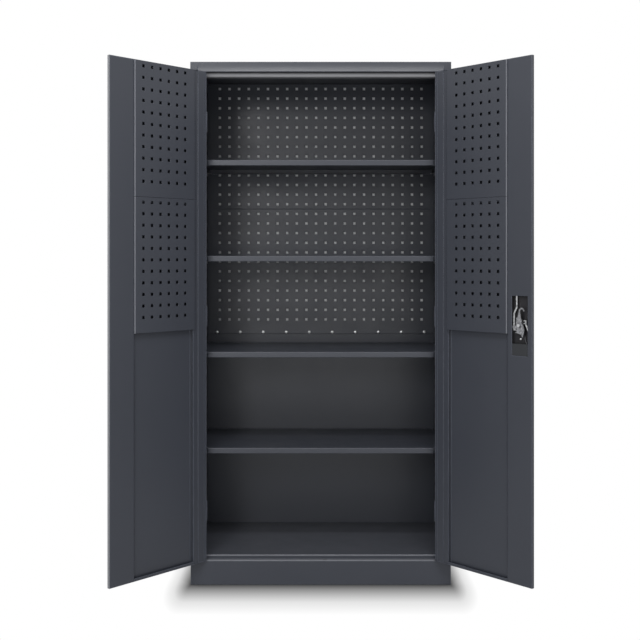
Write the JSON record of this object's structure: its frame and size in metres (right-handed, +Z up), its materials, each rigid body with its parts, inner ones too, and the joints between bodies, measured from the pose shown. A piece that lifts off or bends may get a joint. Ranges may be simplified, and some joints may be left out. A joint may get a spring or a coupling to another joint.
{
  "type": "tool cabinet",
  "caption": "free-standing steel tool cabinet with two perforated swing doors, adjustable shelves, a perforated back and a handle-driven rod lock",
  "frame": {"origin": "on the floor, in the middle of the width and of the front plinth's bottom flange, 15 mm behind the front", "axes": "X to the right, Y to the back, Z up; the doors open towards -Y"},
  "size_m": [1.3698, 0.7766, 1.838],
  "materials": {
    "body_coat": "satin charcoal powder coat",
    "door_coat": "satin charcoal powder coat",
    "shelf_coat": "satin charcoal powder coat",
    "backing_coat": "light grey primer inside, charcoal coat outside",
    "standard_steel": "satin dark coat",
    "zinc": "zinc plated",
    "lock_black": "black coat",
    "handle_chrome": "chrome plated"
  },
  "bodies": {
    "carcass": {"left_side_panel": "body_coat", "right_side_panel": "body_coat", "top_rail": "body_coat", "floor_panel": "body_coat", "plinth_front": "body_coat", "plinth_rear": "body_coat", "plinth_left": "body_coat", "plinth_right": "body_coat", "back_panel": "body_coat", "back_pegboard_lower": "body_coat", "back_pegboard_upper": "body_coat", "rear_sheet": "backing_coat", "top_cap": "body_coat", "back_panel_screws": "zinc", "standard_front_left": "standard_steel", "standard_front_right": "standard_steel", "standard_rear_left": "standard_steel", "standard_rear_right": "standard_steel", "shelf_1": "shelf_coat", "shelf_2": "shelf_coat", "shelf_3": "shelf_coat", "shelf_4": "shelf_coat", "shelf_clips_1": "zinc", "shelf_clips_2": "zinc", "shelf_clips_3": "zinc", "shelf_clips_4": "zinc", "left_hinge_frame_leaves": "body_coat", "right_hinge_frame_leaves": "body_coat", "left_hinge_pins": "zinc", "right_hinge_pins": "zinc"},
    "left_door": {"left_door_panel": "door_coat", "left_door_stile": "door_coat", "left_door_hinge_stile": "door_coat", "left_door_middle_brace": "door_coat", "left_door_lower_brace": "door_coat", "left_door_pegboard_upper": "door_coat", "left_door_pegboard_lower": "door_coat", "left_hinge_door_leaves": "door_coat"},
    "right_door": {"right_door_panel": "door_coat", "right_door_stile": "door_coat", "right_door_hinge_stile": "door_coat", "right_door_middle_brace": "door_coat", "right_door_lower_brace": "door_coat", "right_door_pegboard_upper": "door_coat", "right_door_pegboard_lower": "door_coat", "right_hinge_door_leaves": "door_coat", "lock_case": "lock_black", "lock_case_screw": "zinc", "lock_spring": "zinc", "rod_guides": "zinc", "handle_escutcheon": "lock_black"},
    "handle": {"lock_handle": "handle_chrome", "lock_cam": "zinc", "spindle_spacer": "zinc", "lock_tongue": "zinc", "spindle_nut": "zinc"},
    "key_plug": {"lock_plug": "handle_chrome"},
    "upper_rod": {"upper_lock_rod": "zinc"},
    "lower_rod": {"lower_lock_rod": "zinc"}
  },
  "joints": [
    {"name": "left_door_hinge", "type": "hinge", "parent": "carcass", "child": "left_door", "pos_m": [-0.41075, -0.019, 0.945], "axis": [0, 0, -1], "range_deg": [-132.8, 40]},
    {"name": "right_door_hinge", "type": "hinge", "parent": "carcass", "child": "right_door", "pos_m": [0.41075, -0.019, 0.945], "axis": [0, 0, 1], "range_deg": [-132.8, 40]},
    {"name": "handle_turn", "type": "hinge", "parent": "right_door", "child": "handle", "pos_m": [0.6519, -0.28531, 0.93], "axis": [0.7337, 0.6794, 0], "range_deg": [0, 90]},
    {"name": "key_turn", "type": "hinge", "parent": "handle", "child": "key_plug", "pos_m": [0.6519, -0.28531, 0.93], "axis": [0.7337, 0.6794, 0], "range_deg": [0, 90]},
    {"name": "upper_rod_slide", "type": "slide", "parent": "right_door", "child": "upper_rod", "axis": [0, 0, 1], "range_m": [0, 0.02263]},
    {"name": "lower_rod_slide", "type": "slide", "parent": "right_door", "child": "lower_rod", "axis": [0, 0, -1], "range_m": [0, 0.02263]}
  ],
  "couplings": [
    {"joint": "upper_rod_slide", "follows": "handle_turn", "m_per_rad": 0.014405},
    {"joint": "lower_rod_slide", "follows": "handle_turn", "m_per_rad": 0.014405}
  ]
}
